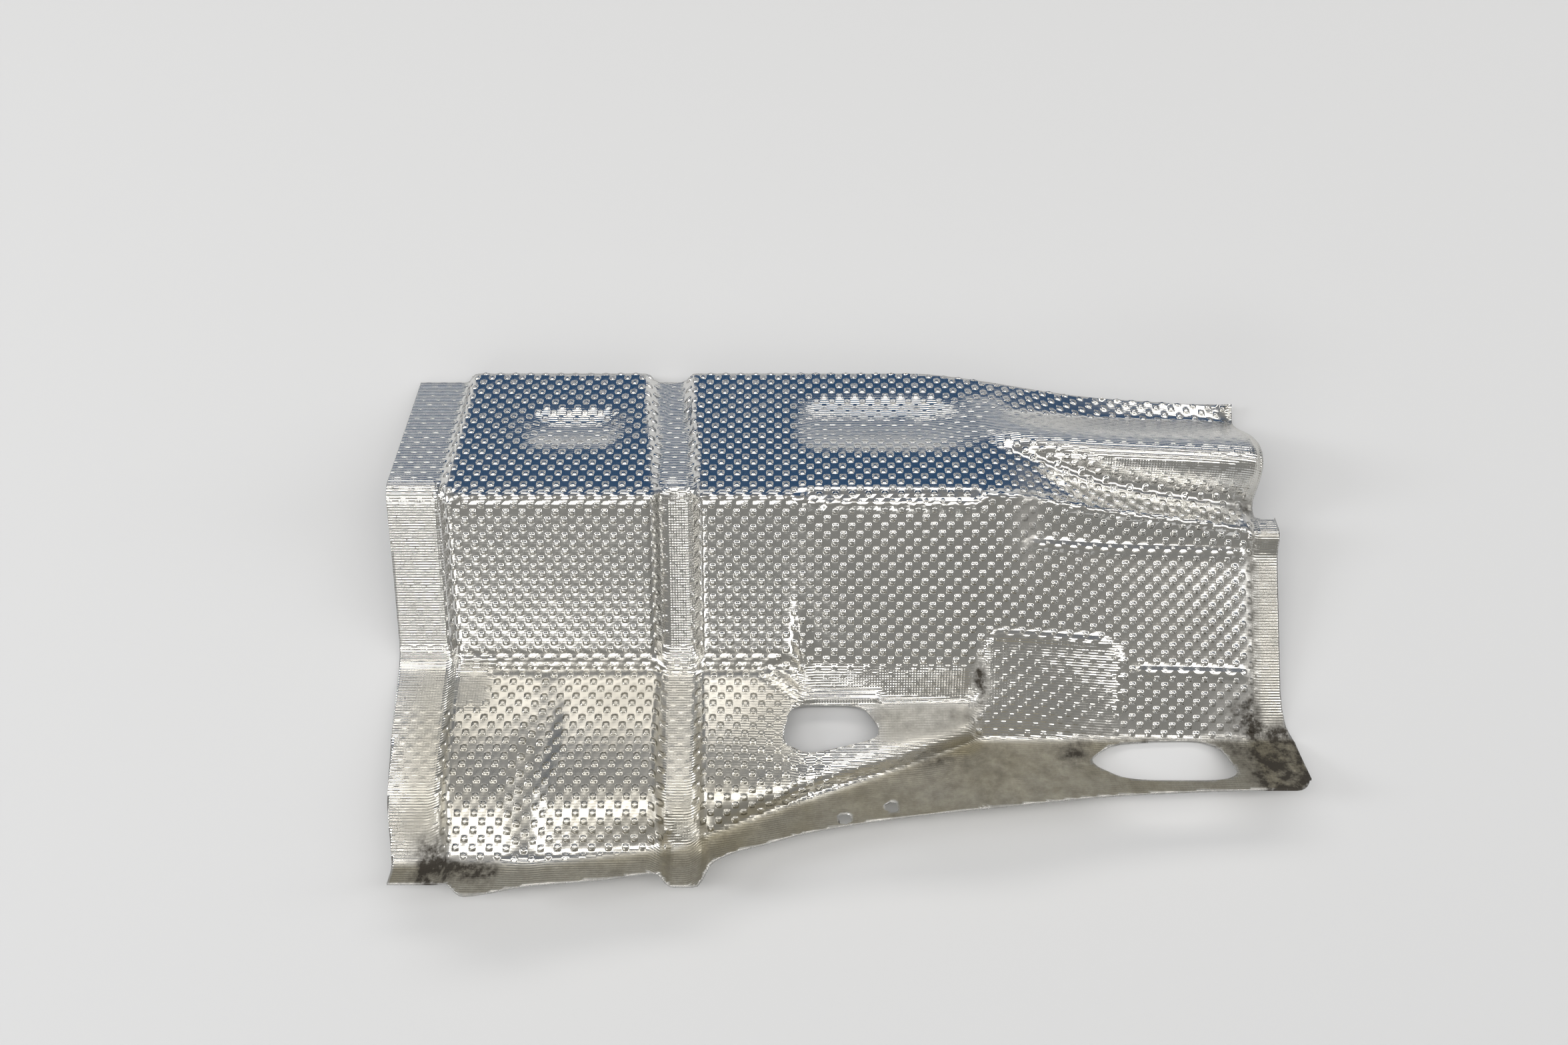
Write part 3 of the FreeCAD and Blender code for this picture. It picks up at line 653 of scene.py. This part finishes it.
colour = mix_colour(stain_amount, colour, STAINED)
# The near-black mix is dirt, and painted shade in the crease at the wedge's end.
colour = mix_colour(grime_and_shade_amount, colour, GRIME_AND_SHADE_COLOUR)
metallic = math_node("SUBTRACT", 1.0, math_node("MULTIPLY", grime_and_shade_amount, 0.85))
rough = math_node("ADD", 0.09, math_node("MULTIPLY", speck, 0.14))
rough = math_node("ADD", rough, math_node("MULTIPLY", stain_amount, 0.30))
rough = math_node("ADD", rough, math_node("MULTIPLY", grime_and_shade_amount, 0.4))
split = nodes.new("ShaderNodeSeparateXYZ")
links.new(sheet_uv, split.inputs[0])


def cosine(axis, pitch, offset):
    """cos(2 pi (distance - offset) / pitch) along one UV axis, in mm."""
    distance = math_node("SUBTRACT", split.outputs[axis], offset / UV_UNIT)
    return math_node("COSINE", math_node("MULTIPLY", distance, 2 * math.pi * UV_UNIT / pitch), 0.0)


# Knobs also as a bump on the sheet's own UV: peaks of cos * cos, a staggered lattice, with the raised lines.
dome = node("ShaderNodeMapRange", interpolation_type="SMOOTHSTEP", From_Min=0.05, From_Max=0.95)
lattice = math_node("MULTIPLY", cosine(0, PITCH, CELL / 2), cosine(1, PITCH, CELL / 2))
links.new(lattice, dome.inputs["Value"])
embossed = math_node("SUBTRACT", 1.0, attribute("flattened"))
domes = math_node("MULTIPLY", dome.outputs[0], embossed)
knob_bump = bump(math_node("MAXIMUM", domes, attribute("lines")), 1.0, 0.00075)
# Fine rows left by the embossing roll, which show most where the knobs are pressed flat.
FINE_PITCH = 1.17
fine = math_node("ADD", cosine(1, FINE_PITCH, 0.0), math_node("MULTIPLY", cosine(0, FINE_PITCH, 0.0), 0.45))
fine = math_node("MULTIPLY", fine, math_node("ADD", 0.06, attribute("flattened")))
fine = math_node("MULTIPLY", fine, math_node("ADD", 0.3, blotch_noise))
fine_bump = bump(fine, 0.5, 0.00012, knob_bump)
# Low waves of a thin sheet that has been handled.
waves = math_node("ADD", cloud, math_node("MULTIPLY", speck, 0.02))
wavy_bump = bump(waves, 0.2, 0.002, fine_bump)
shader = nodes.new("ShaderNodeBsdfPrincipled")
for socket, name in ((colour, "Base Color"), (metallic, "Metallic"), (rough, "Roughness"),
                     (wavy_bump, "Normal")):
    links.new(socket, shader.inputs[name])
output = nodes.new("ShaderNodeOutputMaterial")
links.new(shader.outputs[0], output.inputs[0])
mesh.materials.append(metal)
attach(shield, "root")
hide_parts("heat_shield")

# Studio: a plain pale floor and soft light. The sheet shows mostly what is round it, so the far side is
# dimmer and cooler than the near side.
FLOOR_HALF = 4
FLOOR_COLOUR = (0.80, 0.81, 0.83, 1)
floor_corners = [(FLOOR_HALF * i, FLOOR_HALF * j, 0) for i, j in ((-1, -1), (1, -1), (1, 1), (-1, 1))]
floor_mesh = bpy.data.meshes.new("studio_floor")
floor_mesh.from_pydata(floor_corners, [], [(0, 1, 2, 3)])
floor = bpy.data.objects.new("studio_floor", floor_mesh)
scene.collection.objects.link(floor)
pale = bpy.data.materials.new("studio_floor")
pale.use_nodes = True
pale.node_tree.nodes["Principled BSDF"].inputs["Base Color"].default_value = FLOOR_COLOUR
pale.node_tree.nodes["Principled BSDF"].inputs["Roughness"].default_value = 0.9
floor_mesh.materials.append(pale)

# World colour from front to back: the direction's Y, from -1 to 1, runs along the ramp from 0 to 1.
world = bpy.data.worlds.new("studio")
world.use_nodes = True
scene.world = world
wn, wl = world.node_tree.nodes, world.node_tree.links
direction = wn.new("ShaderNodeTexCoord").outputs["Generated"]
axes = wn.new("ShaderNodeSeparateXYZ")
wl.new(direction, axes.inputs[0])
front_to_back = wn.new("ShaderNodeMath")
front_to_back.operation = "MULTIPLY_ADD"
front_to_back.inputs[1].default_value = 0.5
front_to_back.inputs[2].default_value = 0.5
wl.new(axes.outputs[1], front_to_back.inputs[0])
ramp_y = wn.new("ShaderNodeValToRGB")
front_end, back_end = ramp_y.color_ramp.elements
front_end.position, front_end.color = 0.0, (0.24, 0.24, 0.23, 1)
back_end.position, back_end.color = 1.0, (0.02, 0.07, 0.16, 1)
ramp_y.color_ramp.elements.new(0.55).color = (0.26, 0.25, 0.23, 1)
wl.new(front_to_back.outputs[0], ramp_y.inputs[0])
wl.new(ramp_y.outputs[0], wn["Background"].inputs["Color"])
wn["Background"].inputs["Strength"].default_value = 1.0


def softbox(name, place, size, watts, colour):
    """A rectangular area lamp at place that faces the part."""
    lamp = bpy.data.lights.new(name, "AREA")
    lamp.shape = "RECTANGLE"
    lamp.size, lamp.size_y = size
    lamp.energy = watts
    lamp.color = colour
    box = bpy.data.objects.new(name, lamp)
    scene.collection.objects.link(box)
    box.location = place
    right, back, up = place
    tilt = math.atan2(math.hypot(right, back), up)
    box.rotation_euler = (tilt, 0, math.atan2(-back, -right) - math.pi / 2)


softbox("overhead", (0.0, -0.15, 1.6), (2.6, 0.32), 11, (1, 0.975, 0.93))
softbox("rear", (0.0, 1.3, 1.25), (2.6, 0.4), 9, (1, 0.95, 0.87))
softbox("low_front", (-0.7, -1.6, 0.85), (1.6, 0.25), 6, (1, 0.98, 0.94))
softbox("left", (-1.5, 0.0, 0.9), (0.3, 0.6), 6, (1, 1, 1))
softbox("right", (1.5, 0.0, 0.9), (0.3, 1.2), 5, (1, 1, 1))

# Camera where the photograph was taken from, in mm in the part's own frame; its focal length is in pixels.
CAMERA_PLACE = np.array([0.0, -117.2, 597.4])
CAMERA_TILT = 16.7
SENSOR = 36.0
FOCAL_PIXELS = 2050
PHOTO_WIDTH = 2352
camera_data = bpy.data.cameras.new("photo_view")
camera_data.sensor_width = SENSOR
camera_data.lens = SENSOR * FOCAL_PIXELS / PHOTO_WIDTH
camera = bpy.data.objects.new("photo_view", camera_data)
scene.collection.objects.link(camera)
camera.location = (CAMERA_PLACE + shift) * 0.001
camera.rotation_euler = (math.radians(CAMERA_TILT), 0, 0)
scene.camera = camera
scene.view_settings.view_transform = "Standard"
